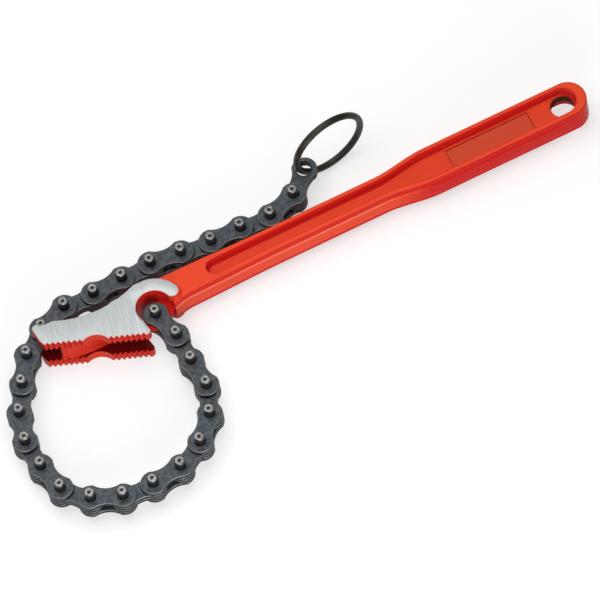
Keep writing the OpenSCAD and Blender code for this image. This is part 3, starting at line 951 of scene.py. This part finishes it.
# a whole plate lying along +X from its first pin, the second half turned round
def wholePlate(firstHole, secondHole):
    first = halfPlate(firstHole)
    second = halfPlate(secondHole)
    turned = second[0] * [-1, -1, 1] + [linkPitch, 0, 0]
    return joinSurfaces(first, (turned, second[1], second[2]))


# two plates of a link, at a height above and below the middle, laid from pin to pin
def platePair(name, link, height, holes):
    points, faces, wearAndShade = wholePlate(*holes)
    cos, sin = math.cos(linkTurns[link]), math.sin(linkTurns[link])
    spin = np.array([[cos, sin, 0], [-sin, cos, 0], [0, 0, 1]])
    laid = points @ spin + [*pinPlaces[link], 0]
    both = joinSurfaces((laid + [0, 0, height], faces, wearAndShade), (laid - [0, 0, height], faces, wearAndShade))
    return makePiece(name, both, "wearAndShade", plate["sharpAngle"])


pinHoles = (plate["pinHoleR"], plate["pinHoleR"])
for k in range(pairCount):
    number = f"{k + 1:02d}"
    outer = platePair("outerPlates" + number, 2 * k, plate["outerZ"], pinHoles)
    dress(outer, oiledPlateAndShade, f"link_{2 * k + 1:02d}", "chain_steel", "outer_plates_" + number)
    lastHole = plate["ringHoleR"] if k == pairCount - 1 else plate["pinHoleR"]
    inner = platePair("innerPlates" + number, 2 * k + 1, plate["innerZ"], (plate["pinHoleR"], lastHole))
    dress(inner, oiledPlateAndShade, f"link_{2 * k + 2:02d}", "chain_steel", "inner_plates_" + number)
print("plates made:", 2 * pairCount, "links")


pin = dict(
    r=2.54, half=10.5, chamfer=0.5, crown=0.12, dimpleR=0.85, dimpleDepth=0.8, dimpleEdge=0.1,
    dimpleShares=(0.55, 0.9, 1.1), dimpleRise=0.7, dimpleMarks=(0, 0, 0.7, 1), axisR=0.001, rimRows=5,
    neckLen=1.1, neckFade=0.5, neckMarks=(0.9, 0, 0), segments=40, sharpAngle=50,
)


# a turned pin: a profile of radius and height carried round the axis, with a domed end, a rounded
# rim and a centre dimple; the attribute shine is 1 on the end, 0 in the dimple and on the shaft
def pinSurface(place):
    p = pin
    top, chamfer, deep = p["half"], p["chamfer"], p["dimpleDepth"]
    bend = quarterTurn(p["rimRows"])
    rimR = p["r"] - chamfer + chamfer * np.sin(bend)
    rimZ = top - p["crown"] - chamfer + chamfer * np.cos(bend)
    dimpleR = [p["axisR"], *(p["dimpleR"] * share for share in p["dimpleShares"])]
    dimpleZ = [top - deep, top - deep * p["dimpleRise"], top - p["dimpleEdge"], top]
    neckZ = [top - p["neckLen"], top - p["neckLen"] - p["neckFade"], 0.0]
    radius = join([dimpleR, rimR, [p["r"]] * len(neckZ)])
    height = join([dimpleZ, rimZ, neckZ])
    shine = join([p["dimpleMarks"], np.ones(len(rimR)), p["neckMarks"]])
    angles = np.linspace(0, 2 * math.pi, p["segments"], endpoint=False)
    flat = radius[:, None, None] * unitCircle(angles)[None] + place
    upper = withHeight(flat, height[:, None])
    rows, columns = upper.shape[:2]
    half = upper.reshape(-1, 3), gridFaces(rows, columns, closeColumns=True), np.repeat(shine, columns)
    return joinSurfaces(half, mirrored(half))


for k in range(pairCount):
    number = f"{k + 1:02d}"
    both = joinSurfaces(pinSurface(pinPlaces[2 * k]), pinSurface(pinPlaces[2 * k + 1]))
    pins = makePiece("linkPins" + number, both, "shine", pin["sharpAngle"])
    dress(pins, pinFinish, f"link_{2 * k + 1:02d}", "pin_steel", "link_pins_" + number)
print("pins made:", 2 * pairCount)


pullRing = dict(
    outerR=20.7, wireR=1.75, lift=32.0, turn=-36.0, shift=0.5, uneven=0.012, waves=(5, 3), wavePhase=0.7,
    segments=(120, 24), sharpAngle=60,
)


# the wire ring: a circle carried round a larger circle; the wire is a little uneven along its length,
# by the product of two waves
def ringSurface():
    g = pullRing
    ringR = g["outerR"] - g["wireR"]
    rows, columns = g["segments"]
    about = np.linspace(0, 2 * math.pi, rows, endpoint=False)[:, None]
    wire = np.linspace(0, 2 * math.pi, columns, endpoint=False)[None, :]
    bumps = 1 + np.sin(g["waves"][0] * about + g["wavePhase"]) * np.cos(g["waves"][1] * about)
    wireR = g["wireR"] * (1 - g["uneven"] * bumps)
    reach = ringR + wireR * np.cos(wire)
    turn = linkTurns[-1] + math.radians(g["turn"])
    lift = math.radians(g["lift"])
    along = np.array([math.cos(turn), math.sin(turn), 0])
    across = np.array([-math.sin(turn), math.cos(turn), 0])
    upward = np.array([0, 0, 1])
    hole = np.array([*pinPlaces[-1], 0])
    centre = hole + along * (ringR * math.cos(lift) - g["shift"]) + upward * ringR * math.sin(lift)
    points = centre + (reach * np.cos(about))[..., None] * along
    points = points + (wireR * np.sin(wire))[..., None] * across
    points = points + (reach * np.sin(about))[..., None] * upward
    faces = gridFaces(rows, columns, closeRows=True, closeColumns=True)
    return points.reshape(-1, 3), faces, np.repeat(bumps, columns)


ringPiece = makePiece("pullRing", ringSurface(), "bumps", pullRing["sharpAngle"])
dress(ringPiece, blackenedWire, "ring", "black_ring", "pull_ring")
print("ring made")


# each lamp has a place, a size and a power
studio = dict(
    floor=(0.80, 0.80, 0.80), floorSeen=(0.50, 0.50, 0.50), floorRough=0.9, glow=0.56,
    floorGap=0.3, floorHalf=4000, world=(0.97, 0.98, 1.0), worldStrength=0.22, lightTarget=(180, 20, 0),
    lamps=dict(
        overhead=((280, -60, 900), 900, 6.2),
        front=((340, 600, 230), 300, 1.65),
        strip=((110, 620, 170), 120, 0.45),
        back=((200, -700, 380), 500, 0.9),
    ),
)


# a wide pale floor: white to the camera and to mirrors, with the shadow of the tool left in
def makeFloor():
    half, z = studio["floorHalf"], cadBox[0].z / mm - studio["floorGap"]
    points = [[-half, -half, z], [half, -half, z], [half, half, z], [-half, half, z]]
    floor = makePiece("floor", (points, [[0, 1, 2, 3]], np.zeros(4)), "flat")
    material, tree, shader = newMaterial("paleFloor")
    path = tree.nodes.new("ShaderNodeLightPath").outputs
    seen = mathNode(tree, "MAXIMUM", path["Is Camera Ray"], path["Is Glossy Ray"])
    seen = mathNode(tree, "MAXIMUM", seen, path["Is Transmission Ray"])
    setInputs(tree, shader, {
        "Base Color": mixNode(tree, seen, studio["floor"], studio["floorSeen"]),
        "Roughness": studio["floorRough"],
        "Specular IOR Level": 0.0,
        "Emission Color": (1, 1, 1),
        "Emission Strength": mathNode(tree, "MULTIPLY", seen, studio["glow"]),
    })
    floor.data.materials.append(material)


def makeLights():
    world = scene.world or bpy.data.worlds.new("studio")
    scene.world = world
    world.use_nodes = True
    background = world.node_tree.nodes["Background"]
    setInputs(world.node_tree, background, {"Color": studio["world"], "Strength": studio["worldStrength"]})
    target = Vector(studio["lightTarget"]) * mm
    for name, (place, size, power) in studio["lamps"].items():
        lamp = bpy.data.lights.new(name, "AREA")
        lamp.shape = "SQUARE"
        lamp.size = size * mm
        lamp.energy = power
        holder = bpy.data.objects.new(name, lamp)
        holder.location = Vector(place) * mm
        holder.rotation_euler = (target - holder.location).to_track_quat("-Z", "Y").to_euler()
        scene.collection.objects.link(holder)


view = dict(
    azimuth=74.81, elevation=61.62, roll=-12.0, target=(159.95, 33.05, 0), distance=6000,
    pixelsPerMm=2.0493, pixels=600, sensor=36.0, clipEnd=100,
)


# the photo's view, nearly parallel, from above the toothed side
def makeCamera():
    v = view
    a, e, roll = (math.radians(v[key]) for key in ("azimuth", "elevation", "roll"))
    out = Vector((math.cos(e) * math.cos(a), math.cos(e) * math.sin(a), math.sin(e)))
    level = Vector((0, 0, 1)).cross(out).normalized()
    upright = out.cross(level)
    right = level * math.cos(roll) + upright * math.sin(roll)
    up = upright * math.cos(roll) - level * math.sin(roll)
    camera = bpy.data.objects.new("camera", bpy.data.cameras.new("camera"))
    turn = Matrix((right, up, out)).transposed().to_4x4()
    camera.matrix_world = Matrix.Translation((Vector(v["target"]) + out * v["distance"]) * mm) @ turn
    camera.data.sensor_width = v["sensor"]
    camera.data.lens = v["sensor"] * v["distance"] * v["pixelsPerMm"] / v["pixels"]
    camera.data.clip_end = v["clipEnd"]
    scene.collection.objects.link(camera)
    scene.camera = camera


makeFloor()
makeLights()
makeCamera()
scene.view_settings.view_transform = "Standard"
print("studio made")
